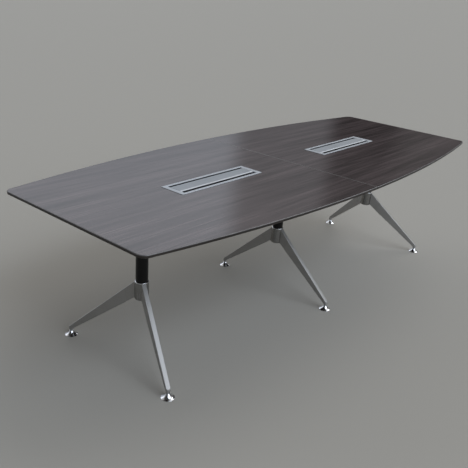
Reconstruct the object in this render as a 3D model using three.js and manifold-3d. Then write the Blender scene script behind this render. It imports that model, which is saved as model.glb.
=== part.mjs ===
// A boat-shaped conference table on three two-legged bases, with two flip-lid cable ports in its top.
// Millimetres, +X along the table, +Z up, origin on the floor under the middle of the table.
import * as THREE from "three";
import { mergeVertices } from "three/addons/utils/BufferGeometryUtils.js";
import Module from "manifold-3d";

// Driving dimensions of the top
const TOP_LENGTH = 2743;
const TOP_WIDTH_MIDDLE = 1118;
const TOP_WIDTH_END = 864;
const TOP_HEIGHT = 750;
const TOP_THICKNESS = 25;
const CORNER_RADIUS = 36;
const SEAM_GAP = 1;
const EDGE_HEIGHT = 12;
const EDGE_BEVEL_INSET = 28;
const BAND_THICKNESS = 3;
const BAND_ARRIS = 2;
const SIDE_STEPS = 12;
const CORNER_STEPS = 6;

// Driving dimensions of the cable ports
const PORT_X = 552;
const PORT_LENGTH = 548;
const PORT_WIDTH = 136;
const PORT_STANDS_PROUD = 2;
const PORT_REBATE = 1;
const PORT_CORNER = 4;
const PORT_ARRIS = 0.8;
const OPENING_LENGTH = 500;
const OPENING_WIDTH = 106;
const SLEEVE_LENGTH = 513;
const SLEEVE_WIDTH = 121;
const SLEEVE_SIDE_WALL = 3;
const SLEEVE_END_WALL = 6;
const SLEEVE_BOTTOM_Z = 722;
const LEDGE_LENGTH = 8;
const LEDGE_WIDTH = 18;
const LEDGE_DEPTH = 4;

// Driving dimensions of the lids, their pins and the brushes
const LID_LENGTH = 498.4;
const LID_NEAR_Y = -32.5;
const LID_FAR_Y = 37;
const LID_PLATE = 3;
const LID_GRIP_RUN = 8;
const LID_GRIP_DROP = 2;
const PIVOT_FROM_FAR_EDGE = 4;
const PIVOT_BELOW_TOP = 6;
const PIVOT_BEAD_RADIUS = 4;
const PIN_RADIUS = 2;
const PIN_LENGTH = 16;
const BRUSH_LENGTH = 496;
const BRUSH_BACK_WIDTH = 3.6;
const BRUSH_BACK_HEIGHT = 6;
const BRUSH_BACK_TOP_Z = 748.5;
const BRISTLE_REACH = 11;
const BRISTLE_ROOT = 1;
const BRISTLE_SIZE = 1.3;
const BRISTLES_PER_BRUSH = 80;

// Driving dimensions of the cable trays
const TRAY_LENGTH = 560;
const TRAY_WIDTH = 128;
const TRAY_DEPTH = 70;
const TRAY_FLANGE = 18;
const TRAY_SHEET = 1.5;
const TRAY_END_STRIP = 30;

// Driving dimensions of the underframe
const RAIL_LENGTH = 2120;
const RAIL_WIDTH = 40;
const RAIL_HEIGHT = 25;
const RAIL_WALL = 2;
const RAIL_Y = 115;
const CAP_HEAD = 3;
const CAP_PLUG = 15;
const POST_PLATE_LENGTH = 110;
const POST_PLATE_WIDTH = 280;
const POST_PLATE_THICKNESS = 6;
const POST_PLATE_CORNER = 12;
const SEAM_PLATE_LENGTH = 180;
const SEAM_PLATE_WIDTH = 60;
const SEAM_PLATE_THICKNESS = 4;
const SEAM_PLATE_CORNER = 8;
const SEAM_PLATE_Y = 380;
const DOWEL_RADIUS = 5;
const DOWEL_LENGTH = 60;
const DOWEL_Y = 250;

// Driving dimensions of the bases
const BASE_X = 992;
const LEG_SPLAY_DEGREES = 23.5;
const FOOT_RADIUS_FROM_POST = 365;
const POST_RADIUS = 28;
const POST_WALL = 2;
const HUB_RADIUS = 32;
const HUB_BOTTOM_Z = 279;
const HUB_TOP_Z = 362;
const HUB_FLOOR = 8;
const HUB_ROUNDING = 5;
const RING_RADIUS = 31.4;
const RING_HEIGHT = 5;
const RING_ARRIS = 1.2;

// Side view of a leg: its top and bottom lines run straight from the post's axis to the foot.
const LEG_TOP_Z_AT_AXIS = 389.1;
const LEG_TOP_SLOPE = -0.9215;
const LEG_BOTTOM_Z_AT_AXIS = 304.3;
const LEG_BOTTOM_SLOPE = -0.769;
const LEG_START_TOP = 85;
const LEG_START_BOTTOM = 70;
const LEG_START_WIDTH = 22.6;
const LEG_TIP_WIDTH = 21;
const LEG_ARRIS = 1.6;
const LEG_TIP_Z = 29;
const BOSS_RADIUS = 9.8;
const BOSS_HEIGHT = 16;
const NOSE_STEPS = 5;
const NOSE_SWEEP_DEGREES = 84;
const STUB_WIDTH = 21.6;
const STUB_STEP = 0.5;
const STUB_ROOT = 4;
const TENON_WIDTH = 13;
const TENON_STEP = 9;
const TENON_REACH = 60;
const TENON_ROOT = 8;
const TENON_ARRIS = 1;

// Driving dimensions of the levelling glides
const BELL_RADIUS = 30;
const BELL_RIM = 2.5;
const BELL_HEIGHT = 22;
const BELL_NECK_RADIUS = 8.5;
const BELL_HOLLOW = 0.3;
const BELL_BORE_FLOOR = 8;
const BELL_FLARE_STEPS = 5;
const STEM_RADIUS = 4;
const STEM_TOP_Z = 46;
const HEX_ACROSS_FLATS = 13;
const HEX_HEIGHT = 6;
const BORE_TOP_Z = 47;

// Clearance left between neighbours, how far a cutter runs past a face, and the fineness of round pieces
const GAP = 0.3;
const CUT_PAST = 1;
const ROUND_SIDES = 24;
const SMALL_SIDES = 12;

const PANEL_BOTTOM_Z = TOP_HEIGHT - TOP_THICKNESS;
const PORT_TOP_Z = TOP_HEIGHT + PORT_STANDS_PROUD;
const FLANGE_BOTTOM_Z = TOP_HEIGHT - PORT_REBATE;
const POST_PLATE_TOP_Z = PANEL_BOTTOM_Z - RAIL_HEIGHT;
const POST_TOP_Z = POST_PLATE_TOP_Z - POST_PLATE_THICKNESS;
const PIVOT_Y = LID_FAR_Y - PIVOT_FROM_FAR_EDGE;
const PIVOT_Z = PORT_TOP_Z - PIVOT_BELOW_TOP;

const wasm = await Module();
wasm.setup();

// Finishes
const laminate = () => new THREE.MeshStandardMaterial({ color: 0x4a4346, roughness: 0.45, metalness: 0 });
const darkBand = () => new THREE.MeshStandardMaterial({ color: 0x1d1a1a, roughness: 0.4, metalness: 0 });
const beech = () => new THREE.MeshStandardMaterial({ color: 0xb08a5c, roughness: 0.7, metalness: 0 });
const blackSteel = () => new THREE.MeshStandardMaterial({ color: 0x141416, roughness: 0.25, metalness: 0.3 });
const castMetal = () => new THREE.MeshStandardMaterial({ color: 0xa9adb1, roughness: 0.35, metalness: 1 });
const satinMetal = () => new THREE.MeshStandardMaterial({ color: 0xa8afb6, roughness: 0.4, metalness: 1 });
const chrome = () => new THREE.MeshStandardMaterial({ color: 0xd8dadd, roughness: 0.08, metalness: 1 });
const zincSteel = () => new THREE.MeshStandardMaterial({ color: 0x8f9296, roughness: 0.45, metalness: 1 });
const blackPlastic = () => new THREE.MeshStandardMaterial({ color: 0x1a1a1b, roughness: 0.6, metalness: 0 });

// Solids: a geometry becomes a solid to be joined or cut, and a solid becomes a geometry again.
function solid(geometry) {
  const bare = new THREE.BufferGeometry().setAttribute("position", geometry.getAttribute("position"));
  if (geometry.index) bare.setIndex(geometry.index);
  const merged = mergeVertices(bare, 1e-4);
  const mesh = new wasm.Mesh({
    numProp: 3,
    vertProperties: new Float32Array(merged.getAttribute("position").array),
    triVerts: new Uint32Array(merged.index.array),
  });
  return new wasm.Manifold(mesh);
}

function geometryOf(body) {
  const mesh = body.getMesh();
  const geometry = new THREE.BufferGeometry();
  geometry.setAttribute("position", new THREE.BufferAttribute(new Float32Array(mesh.vertProperties), 3));
  geometry.setIndex(new THREE.BufferAttribute(new Uint32Array(mesh.triVerts), 1));
  return geometry;
}

// Plain forms
function box(x0, x1, y0, y1, z0, z1) {
  const geometry = new THREE.BoxGeometry(x1 - x0, y1 - y0, z1 - z0);
  return geometry.translate((x0 + x1) / 2, (y0 + y1) / 2, (z0 + z1) / 2);
}

// An upright cylinder whose flats, not its corners, lie on the given radius where inside is true.
function upright(radius, z0, z1, sides = ROUND_SIDES, inside = false) {
  const cornerRadius = inside ? radius / Math.cos(Math.PI / sides) : radius;
  const geometry = new THREE.CylinderGeometry(cornerRadius, cornerRadius, z1 - z0, sides);
  return geometry.rotateX(Math.PI / 2).translate(0, 0, (z0 + z1) / 2);
}

// A cylinder along X, with the same choice of radius.
function along(radius, x0, x1, sides = SMALL_SIDES, inside = false) {
  return upright(radius, x0, x1, sides, inside).rotateY(Math.PI / 2);
}

// A profile of [radius, height] points turned about the Z axis.
function turned(profile, sides = ROUND_SIDES) {
  const points = profile.map(([radius, height]) => new THREE.Vector2(radius, height));
  return new THREE.LatheGeometry(points, sides).rotateX(Math.PI / 2);
}

function roundedRectangle(length, width, radius, Kind = THREE.Shape) {
  const x = length / 2;
  const y = width / 2;
  const shape = new Kind();
  shape.absarc(x - radius, y - radius, radius, 0, Math.PI / 2);
  shape.absarc(-x + radius, y - radius, radius, Math.PI / 2, Math.PI);
  shape.absarc(-x + radius, -y + radius, radius, Math.PI, 1.5 * Math.PI);
  shape.absarc(x - radius, -y + radius, radius, 1.5 * Math.PI, 2 * Math.PI);
  return shape;
}

function rectangle(length, width, Kind = THREE.Shape) {
  const x = length / 2;
  const y = width / 2;
  const corners = [[x, y], [-x, y], [-x, -y], [x, -y]];
  return new Kind(corners.map(([u, v]) => new THREE.Vector2(u, v)));
}

// A shape in plan raised from z0 to z1.
function raised(shape, z0, z1, curveSegments = 3) {
  const geometry = new THREE.ExtrudeGeometry(shape, { depth: z1 - z0, bevelEnabled: false, curveSegments });
  return geometry.translate(0, 0, z0);
}

// A shape drawn in Y (across) and Z (up) drawn out along X.
function drawnAlong(shape, x0, x1, curveSegments = 4) {
  const geometry = new THREE.ExtrudeGeometry(shape, { depth: x1 - x0, bevelEnabled: false, curveSegments });
  return geometry.rotateX(Math.PI / 2).rotateZ(Math.PI / 2).translate(x0, 0, 0);
}

// A closed skin through equal rings of points, with flat ends.
function skinned(rings) {
  const count = rings[0].length;
  const positions = rings.flat(2);
  const triangles = [];
  for (let ring = 0; ring + 1 < rings.length; ring++) {
    for (let i = 0; i < count; i++) {
      const a = ring * count + i;
      const b = ring * count + ((i + 1) % count);
      triangles.push(a, b, b + count, a, b + count, a + count);
    }
  }
  const last = (rings.length - 1) * count;
  for (const [i, j, k] of flatEnd(rings[0])) triangles.push(k, j, i);
  for (const [i, j, k] of flatEnd(rings[rings.length - 1])) triangles.push(last + i, last + j, last + k);
  const geometry = new THREE.BufferGeometry();
  geometry.setAttribute("position", new THREE.Float32BufferAttribute(positions, 3));
  return geometry.setIndex(triangles);
}

// Triangles that fill a flat ring of points, in the ring's own direction.
function flatEnd(ring) {
  const points = ring.map((point) => new THREE.Vector3(...point));
  const normal = new THREE.Vector3();
  points.forEach((point, i) => normal.add(point.clone().cross(points[(i + 1) % points.length])));
  const turn = new THREE.Quaternion().setFromUnitVectors(normal.normalize(), new THREE.Vector3(0, 0, 1));
  const flat = points.map((point) => point.applyQuaternion(turn)).map((p) => new THREE.Vector2(p.x, p.y));
  return THREE.ShapeUtils.triangulateShape(flat, []);
}

const table = new THREE.Group();

function add(name, geometry, material, parent = table) {
  const mesh = new THREE.Mesh(geometry, material);
  mesh.name = name;
  parent.add(mesh);
  return mesh;
}

// Top
// The long sides are arcs through the middle width and the end width, so every inset outline is concentric.
const halfLength = TOP_LENGTH / 2;
const sideRise = (TOP_WIDTH_MIDDLE - TOP_WIDTH_END) / 2;
const sideRadius = (halfLength ** 2 + sideRise ** 2) / (2 * sideRise);
const sideCentreY = TOP_WIDTH_MIDDLE / 2 - sideRadius;

// The right half's open outline at an inset, from the front of the seam round the end to its back.
function halfOutline(inset) {
  const cornerX = halfLength - CORNER_RADIUS;
  const cornerY = sideCentreY + Math.sqrt((sideRadius - CORNER_RADIUS) ** 2 - cornerX ** 2);
  const tangent = Math.atan2(cornerX, cornerY - sideCentreY);
  const seamX = SEAM_GAP / 2;
  const side = sideRadius - inset;
  const firstAngle = Math.asin(seamX / side);
  const back = [];
  for (let i = 0; i <= SIDE_STEPS; i++) {
    const angle = firstAngle + ((tangent - firstAngle) * i) / SIDE_STEPS;
    back.push([side * Math.sin(angle), sideCentreY + side * Math.cos(angle)]);
  }
  const corner = CORNER_RADIUS - inset;
  for (let i = 1; i <= CORNER_STEPS; i++) {
    const angle = tangent + ((Math.PI / 2 - tangent) * i) / CORNER_STEPS;
    back.push([cornerX + corner * Math.sin(angle), cornerY + corner * Math.cos(angle)]);
  }
  const front = back.map(([x, y]) => [x, -y]);
  return [...front, ...back.reverse()];
}

function ringAt(inset, z) {
  return halfOutline(inset).map(([x, y]) => [x, y, z]);
}

function panelSolid() {
  const behindBand = BAND_THICKNESS + GAP;
  const edgeBottomZ = TOP_HEIGHT - EDGE_HEIGHT;
  const slab = skinned([
    ringAt(EDGE_BEVEL_INSET, PANEL_BOTTOM_Z),
    ringAt(behindBand, edgeBottomZ),
    ringAt(behindBand, TOP_HEIGHT),
  ]);
  const cutOut = raised(
    rectangle(SLEEVE_LENGTH + 2 * GAP, SLEEVE_WIDTH + 2 * GAP),
    PANEL_BOTTOM_Z - CUT_PAST,
    TOP_HEIGHT + CUT_PAST,
  ).translate(PORT_X, 0, 0);
  const rebate = raised(
    roundedRectangle(PORT_LENGTH + 2 * GAP, PORT_WIDTH + 2 * GAP, PORT_CORNER + GAP),
    FLANGE_BOTTOM_Z,
    TOP_HEIGHT + CUT_PAST,
  ).translate(PORT_X, 0, 0);
  let panel = solid(slab).subtract(solid(cutOut)).subtract(solid(rebate));
  for (const y of [-DOWEL_Y, DOWEL_Y]) {
    const hole = along(DOWEL_RADIUS + GAP, -CUT_PAST, DOWEL_LENGTH / 2 + GAP, SMALL_SIDES, true);
    panel = panel.subtract(solid(hole.translate(0, y, dowelZ)));
  }
  return panel;
}

// The band is a strip of even thickness whose upper outer arris is taken off.
function bandGeometry() {
  const bottomZ = TOP_HEIGHT - EDGE_HEIGHT;
  const outerLow = ringAt(0, bottomZ);
  const outerHigh = ringAt(0, TOP_HEIGHT - BAND_ARRIS);
  const arris = ringAt(BAND_ARRIS, TOP_HEIGHT);
  const innerHigh = ringAt(BAND_THICKNESS, TOP_HEIGHT);
  const innerLow = ringAt(BAND_THICKNESS, bottomZ);
  const sections = outerLow.map((point, i) => [innerLow[i], innerHigh[i], arris[i], outerHigh[i], point]);
  return skinned(sections);
}

const dowelZ = TOP_HEIGHT - TOP_THICKNESS / 2;
const rightPanel = panelSolid();
for (const [side, turn] of [["right", 0], ["left", Math.PI]]) {
  const half = new THREE.Group();
  half.rotation.z = turn;
  table.add(half);
  add(`top_panel_${side}`, geometryOf(rightPanel), laminate(), half);
  add(`edge_band_${side}`, bandGeometry(), darkBand(), half);
}

// Seam hardware
for (const [place, y] of [["front", -1], ["back", 1]]) {
  const plate = raised(
    roundedRectangle(SEAM_PLATE_LENGTH, SEAM_PLATE_WIDTH, SEAM_PLATE_CORNER),
    PANEL_BOTTOM_Z - SEAM_PLATE_THICKNESS,
    PANEL_BOTTOM_Z,
  );
  add(`seam_plate_${place}`, plate, zincSteel()).position.y = y * SEAM_PLATE_Y;
  const dowel = along(DOWEL_RADIUS, -DOWEL_LENGTH / 2, DOWEL_LENGTH / 2);
  add(`seam_dowel_${place}`, dowel, beech()).position.set(0, y * DOWEL_Y, dowelZ);
}

// Underframe
// A rail is an open box tube, drawn along X with its upper face on the panels.
function railGeometry() {
  const section = rectangle(RAIL_WIDTH, RAIL_HEIGHT);
  section.holes.push(rectangle(RAIL_WIDTH - 2 * RAIL_WALL, RAIL_HEIGHT - 2 * RAIL_WALL, THREE.Path));
  return drawnAlong(section, -RAIL_LENGTH / 2, RAIL_LENGTH / 2);
}

function capGeometry() {
  const head = box(0, CAP_HEAD, -RAIL_WIDTH / 2, RAIL_WIDTH / 2, -RAIL_HEIGHT / 2, RAIL_HEIGHT / 2);
  const plugY = RAIL_WIDTH / 2 - RAIL_WALL - GAP;
  const plugZ = RAIL_HEIGHT / 2 - RAIL_WALL - GAP;
  const plug = box(-CAP_PLUG, CAP_HEAD / 2, -plugY, plugY, -plugZ, plugZ);
  return geometryOf(solid(head).add(solid(plug)));
}

const railZ = PANEL_BOTTOM_Z - RAIL_HEIGHT / 2;
for (const [place, y] of [["front", -RAIL_Y], ["back", RAIL_Y]]) {
  add(`rail_${place}`, railGeometry(), blackSteel()).position.set(0, y, railZ);
  for (const [end, turn] of [["right", 0], ["left", Math.PI]]) {
    const cap = add(`rail_cap_${place}_${end}`, capGeometry(), blackPlastic());
    cap.rotation.z = turn;
    cap.position.set(Math.cos(turn) * (RAIL_LENGTH / 2), y, railZ);
  }
}

// Bases
const legTopZ = (r) => LEG_TOP_Z_AT_AXIS + LEG_TOP_SLOPE * r;
const legBottomZ = (r) => LEG_BOTTOM_Z_AT_AXIS + LEG_BOTTOM_SLOPE * r;

// One section across a leg or stub: a rectangle between a bottom and a top point, with its arrises taken off.
// An inset draws both points in along the line between them.
function legSection([bottomR, bottomZ], [topR, topZ], width, arris, inset = 0) {
  const height = Math.hypot(topR - bottomR, topZ - bottomZ);
  const at = (t, y) => [bottomR + (topR - bottomR) * t, y, bottomZ + (topZ - bottomZ) * t];
  const half = width / 2;
  const cut = Math.min(arris, half / 2);
  const low = inset / height;
  const lowSide = (inset + cut) / height;
  return [
    at(low, half - cut), at(lowSide, half), at(1 - lowSide, half), at(1 - low, half - cut),
    at(1 - low, -half + cut), at(1 - lowSide, -half), at(lowSide, -half), at(low, -half + cut),
  ];
}

// The slanted section where the leg starts, moved outwards by a step.
function startSection(step, width, arris, inset = 0) {
  const bottomR = LEG_START_BOTTOM + step;
  const topR = LEG_START_TOP + step;
  return legSection([bottomR, legBottomZ(bottomR)], [topR, legTopZ(topR)], width, arris, inset);
}

// The leg runs out along its own +X from its slanted inner end to a round nose over the foot.
function legSolid() {
  const sections = [startSection(0, LEG_START_WIDTH, LEG_ARRIS)];
  for (let i = 0; i <= NOSE_STEPS; i++) {
    const angle = (i / NOSE_STEPS) * THREE.MathUtils.degToRad(NOSE_SWEEP_DEGREES);
    const r = FOOT_RADIUS_FROM_POST + (LEG_TIP_WIDTH / 2) * Math.sin(angle);
    const bottomZ = Math.max(legBottomZ(r), LEG_TIP_Z);
    sections.push(legSection([r, bottomZ], [r, legTopZ(r)], LEG_TIP_WIDTH * Math.cos(angle), LEG_ARRIS));
  }
  const boss = upright(BOSS_RADIUS, LEG_TIP_Z, LEG_TIP_Z + BOSS_HEIGHT, SMALL_SIDES);
  const bore = upright(STEM_RADIUS + GAP, LEG_TIP_Z - CUT_PAST, BORE_TOP_Z, SMALL_SIDES, true);
  return solid(skinned(sections))
    .add(solid(boss.translate(FOOT_RADIUS_FROM_POST, 0, 0)))
    .subtract(solid(bore.translate(FOOT_RADIUS_FROM_POST, 0, 0)))
    .subtract(solid(tenon(GAP)));
}

// The tenon of a stub arm inside its leg, grown by a clearance for the leg's socket.
function tenon(clearance) {
  const width = TENON_WIDTH + 2 * clearance;
  const inset = TENON_STEP - 2 * clearance;
  const ends = [-TENON_ROOT, TENON_REACH + 2 * clearance];
  return skinned(ends.map((step) => startSection(step, width, TENON_ARRIS, inset)));
}

// A stub arm of the hub, a little slimmer than the leg that continues it.
function stub() {
  const innerR = HUB_RADIUS - STUB_ROOT;
  const rootBottom = [innerR, legBottomZ(innerR) + STUB_STEP];
  const rootTop = [innerR, HUB_TOP_Z - STUB_STEP];
  return skinned([
    legSection(rootBottom, rootTop, STUB_WIDTH, LEG_ARRIS),
    startSection(-2 * GAP, STUB_WIDTH, LEG_ARRIS, STUB_STEP),
  ]);
}

function hubSolid(legAngles) {
  const rounding = HUB_ROUNDING * (1 - Math.SQRT1_2);
  const barrel = turned([
    [0, HUB_BOTTOM_Z],
    [HUB_RADIUS - HUB_ROUNDING, HUB_BOTTOM_Z],
    [HUB_RADIUS - rounding, HUB_BOTTOM_Z + rounding],
    [HUB_RADIUS, HUB_BOTTOM_Z + HUB_ROUNDING],
    [HUB_RADIUS, HUB_TOP_Z],
    [0, HUB_TOP_Z],
  ]);
  let hub = solid(barrel);
  for (const angle of legAngles) {
    const arm = solid(stub()).add(solid(tenon(0)));
    hub = hub.add(solid(geometryOf(arm).rotateZ(angle)));
  }
  const boreFloorZ = HUB_BOTTOM_Z + HUB_FLOOR;
  const postBore = upright(POST_RADIUS + GAP, boreFloorZ, HUB_TOP_Z + CUT_PAST, ROUND_SIDES, true);
  return hub.subtract(solid(postBore));
}

function postGeometry() {
  const tube = upright(POST_RADIUS, HUB_BOTTOM_Z + HUB_FLOOR + GAP, POST_TOP_Z);
  const hollow = upright(POST_RADIUS - POST_WALL, HUB_BOTTOM_Z, POST_TOP_Z + CUT_PAST);
  return geometryOf(solid(tube).subtract(solid(hollow)));
}

function ringGeometry() {
  const bottomZ = HUB_TOP_Z + GAP;
  const topZ = bottomZ + RING_HEIGHT;
  const outside = turned([
    [0, bottomZ],
    [RING_RADIUS, bottomZ],
    [RING_RADIUS, topZ - RING_ARRIS],
    [RING_RADIUS - RING_ARRIS, topZ],
    [0, topZ],
  ]);
  const hole = upright(POST_RADIUS + GAP, bottomZ - CUT_PAST, topZ + CUT_PAST, ROUND_SIDES, true);
  return geometryOf(solid(outside).subtract(solid(hole)));
}

// The bell flares from its neck to its rim on a hollow curve, a little inside a straight cone.
function bellGeometry() {
  const rim = new THREE.Vector2(BELL_RADIUS, BELL_RIM);
  const neck = new THREE.Vector2(BELL_NECK_RADIUS, BELL_HEIGHT);
  const corner = new THREE.Vector2(BELL_NECK_RADIUS, BELL_RIM);
  const pull = rim.clone().lerp(neck, 0.5).lerp(corner, BELL_HOLLOW);
  const flare = new THREE.QuadraticBezierCurve(rim, pull, neck).getPoints(BELL_FLARE_STEPS);
  const boreRadius = (STEM_RADIUS + GAP) / Math.cos(Math.PI / ROUND_SIDES);
  return turned([
    [0, 0],
    [BELL_RADIUS, 0],
    ...flare.map((point) => [point.x, point.y]),
    [boreRadius, BELL_HEIGHT],
    [boreRadius, BELL_BORE_FLOOR],
    [0, BELL_BORE_FLOOR],
  ]);
}

function stemGeometry() {
  const rod = upright(STEM_RADIUS, BELL_BORE_FLOOR + GAP, STEM_TOP_Z, SMALL_SIDES);
  const hexZ = BELL_HEIGHT + GAP;
  const hexagon = upright(HEX_ACROSS_FLATS / 2, hexZ, hexZ + HEX_HEIGHT, 6, true);
  return geometryOf(solid(rod).add(solid(hexagon)));
}

const splay = THREE.MathUtils.degToRad(LEG_SPLAY_DEGREES);
const across = Math.PI / 2;
const bases = [
  { name: "left", x: -BASE_X, front: -across - splay, back: across + splay },
  { name: "middle", x: 0, front: -across, back: across },
  { name: "right", x: BASE_X, front: -across + splay, back: across - splay },
];
const leg = legSolid();
for (const base of bases) {
  const group = new THREE.Group();
  group.position.x = base.x;
  table.add(group);
  const plate = raised(
    roundedRectangle(POST_PLATE_LENGTH, POST_PLATE_WIDTH, POST_PLATE_CORNER),
    POST_TOP_Z,
    POST_PLATE_TOP_Z,
  );
  add(`post_plate_${base.name}`, plate, blackSteel(), group);
  add(`post_${base.name}`, postGeometry(), blackSteel(), group);
  add(`hub_${base.name}`, geometryOf(hubSolid([base.front, base.back])), castMetal(), group);
  add(`hub_ring_${base.name}`, ringGeometry(), chrome(), group);
  for (const place of ["front", "back"]) {
    const arm = new THREE.Group();
    arm.rotation.z = base[place];
    group.add(arm);
    add(`leg_${base.name}_${place}`, geometryOf(leg), castMetal(), arm);
    const foot = new THREE.Group();
    foot.position.x = FOOT_RADIUS_FROM_POST;
    arm.add(foot);
    add(`glide_foot_${base.name}_${place}`, bellGeometry(), chrome(), foot);
    add(`glide_stem_${base.name}_${place}`, stemGeometry(), zincSteel(), foot);
  }
}

// Cable ports
function frameSolid() {
  const ring = roundedRectangle(PORT_LENGTH - 2 * PORT_ARRIS, PORT_WIDTH - 2 * PORT_ARRIS, PORT_CORNER);
  ring.holes.push(rectangle(OPENING_LENGTH + 2 * PORT_ARRIS, OPENING_WIDTH + 2 * PORT_ARRIS, THREE.Path));
  const flange = new THREE.ExtrudeGeometry(ring, {
    depth: PORT_TOP_Z - FLANGE_BOTTOM_Z - 2 * PORT_ARRIS,
    bevelThickness: PORT_ARRIS,
    bevelSize: PORT_ARRIS,
    bevelSegments: 1,
    curveSegments: 3,
  }).translate(0, 0, FLANGE_BOTTOM_Z + PORT_ARRIS);
  const wall = rectangle(SLEEVE_LENGTH, SLEEVE_WIDTH);
  wall.holes.push(
    rectangle(SLEEVE_LENGTH - 2 * SLEEVE_END_WALL, SLEEVE_WIDTH - 2 * SLEEVE_SIDE_WALL, THREE.Path),
  );
  const sleeve = raised(wall, SLEEVE_BOTTOM_Z, FLANGE_BOTTOM_Z + PORT_ARRIS);
  let frame = solid(flange).add(solid(sleeve));
  const wallX = SLEEVE_LENGTH / 2 - SLEEVE_END_WALL;
  const ledgeTopZ = PORT_TOP_Z - LID_PLATE - GAP;
  const ledgeSpan = LEDGE_LENGTH + SLEEVE_END_WALL / 2;
  const ledgeX = wallX + SLEEVE_END_WALL / 2 - ledgeSpan / 2;
  const ledge = box(
    -ledgeSpan / 2,
    ledgeSpan / 2,
    LID_NEAR_Y,
    LID_NEAR_Y + LEDGE_WIDTH,
    ledgeTopZ - LEDGE_DEPTH,
    ledgeTopZ,
  );
  for (const x of [-ledgeX, ledgeX]) frame = frame.add(solid(ledge.clone().translate(x, 0, 0)));
  const pinHole = along(PIN_RADIUS + GAP, -PORT_LENGTH / 2, PORT_LENGTH / 2, SMALL_SIDES, true);
  return frame.subtract(solid(pinHole.translate(0, PIVOT_Y, PIVOT_Z)));
}

// The lid is one drawn section: a plate, a long bevel down its near edge and a bead round the pivot.
function lidSolid() {
  const top = PORT_TOP_Z;
  const section = new THREE.Shape();
  section.moveTo(LID_FAR_Y, top);
  section.lineTo(LID_NEAR_Y + LID_GRIP_RUN, top);
  section.lineTo(LID_NEAR_Y, top - LID_GRIP_DROP);
  section.lineTo(LID_NEAR_Y, top - LID_PLATE);
  section.lineTo(PIVOT_Y - PIVOT_BEAD_RADIUS, top - LID_PLATE);
  section.lineTo(PIVOT_Y - PIVOT_BEAD_RADIUS, PIVOT_Z);
  section.absarc(PIVOT_Y, PIVOT_Z, PIVOT_BEAD_RADIUS, Math.PI, 2 * Math.PI);
  section.lineTo(LID_FAR_Y, top);
  let lid = solid(drawnAlong(section, -LID_LENGTH / 2, LID_LENGTH / 2, 8));
  for (const end of [-1, 1]) {
    const hole = along(PIN_RADIUS + GAP, 0, PIN_LENGTH, SMALL_SIDES, true);
    const middle = end * (pinMiddleX - GAP) - PIN_LENGTH / 2;
    lid = lid.subtract(solid(hole.translate(middle, PIVOT_Y, PIVOT_Z)));
  }
  return lid;
}

// A brush strip: a straight backing with one row of bristles pointing at the lid, along +Y here.
function brushGeometry() {
  const bottomZ = BRUSH_BACK_TOP_Z - BRUSH_BACK_HEIGHT;
  const half = BRUSH_LENGTH / 2;
  const backing = box(-half, half, -BRUSH_BACK_WIDTH, 0, bottomZ, BRUSH_BACK_TOP_Z);
  const pitch = BRUSH_LENGTH / BRISTLES_PER_BRUSH;
  const bristleZ = (bottomZ + BRUSH_BACK_TOP_Z) / 2;
  const strands = [];
  for (let i = 0; i < BRISTLES_PER_BRUSH; i++) {
    const x = -half + (i + 0.5) * pitch;
    const length = BRISTLE_REACH + BRISTLE_ROOT;
    const strand = new THREE.CylinderGeometry(BRISTLE_SIZE / 4, BRISTLE_SIZE / 2, length, 3);
    strands.push(solid(strand.translate(x, length / 2 - BRISTLE_ROOT, bristleZ)));
  }
  return geometryOf(solid(backing).add(wasm.Manifold.union(strands)));
}

// A cable tray: a trough folded from sheet, with a flange along each side and a strip across the top of
// each end, under which the leads leave.
function trayGeometry() {
  const y = TRAY_WIDTH / 2;
  const inner = y - TRAY_SHEET;
  const top = PANEL_BOTTOM_Z;
  const bottom = top - TRAY_DEPTH;
  const right = [
    [inner, top],
    [y + TRAY_FLANGE, top],
    [y + TRAY_FLANGE, top - TRAY_SHEET],
    [y, top - TRAY_SHEET],
    [y, bottom],
  ];
  const left = right.map(([u, v]) => [-u, v]).reverse();
  const floor = [[-inner, bottom + TRAY_SHEET], [inner, bottom + TRAY_SHEET]];
  const section = new THREE.Shape([...right.reverse(), ...floor.reverse(), ...left.reverse()].map(
    ([u, v]) => new THREE.Vector2(u, v),
  ));
  const half = TRAY_LENGTH / 2;
  let tray = solid(drawnAlong(section, -half, half));
  const strip = box(0, TRAY_SHEET, -y, y, top - TRAY_END_STRIP, top);
  for (const x of [-half, half - TRAY_SHEET]) tray = tray.add(solid(strip.clone().translate(x, 0, 0)));
  return geometryOf(tray);
}

const pinMiddleX = SLEEVE_LENGTH / 2 - PIN_LENGTH / 2;
for (const [side, x] of [["left", -PORT_X], ["right", PORT_X]]) {
  const port = new THREE.Group();
  port.position.x = x;
  table.add(port);
  add(`port_frame_${side}`, geometryOf(frameSolid()), satinMetal(), port);
  add(`port_lid_${side}`, geometryOf(lidSolid()), satinMetal(), port);
  for (const [end, sign] of [["outer", Math.sign(x)], ["inner", -Math.sign(x)]]) {
    const pin = along(PIN_RADIUS, -PIN_LENGTH / 2, PIN_LENGTH / 2);
    add(`port_pin_${side}_${end}`, pin, zincSteel(), port).position.set(sign * pinMiddleX, PIVOT_Y, PIVOT_Z);
  }
  const brushY = OPENING_WIDTH / 2 + GAP;
  for (const [place, y, turn] of [["front", -brushY, 0], ["back", brushY, Math.PI]]) {
    const brush = add(`brush_strip_${side}_${place}`, brushGeometry(), blackPlastic(), port);
    brush.rotation.z = turn;
    brush.position.y = y;
  }
  add(`cable_tray_${side}`, trayGeometry(), blackSteel(), port);
}

export default table;
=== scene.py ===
"""The looks of a boat-shaped conference table: smooth metal pieces, materials, light and camera."""
import math
import random

import bmesh
import bpy
from mathutils import Matrix, Vector


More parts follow.
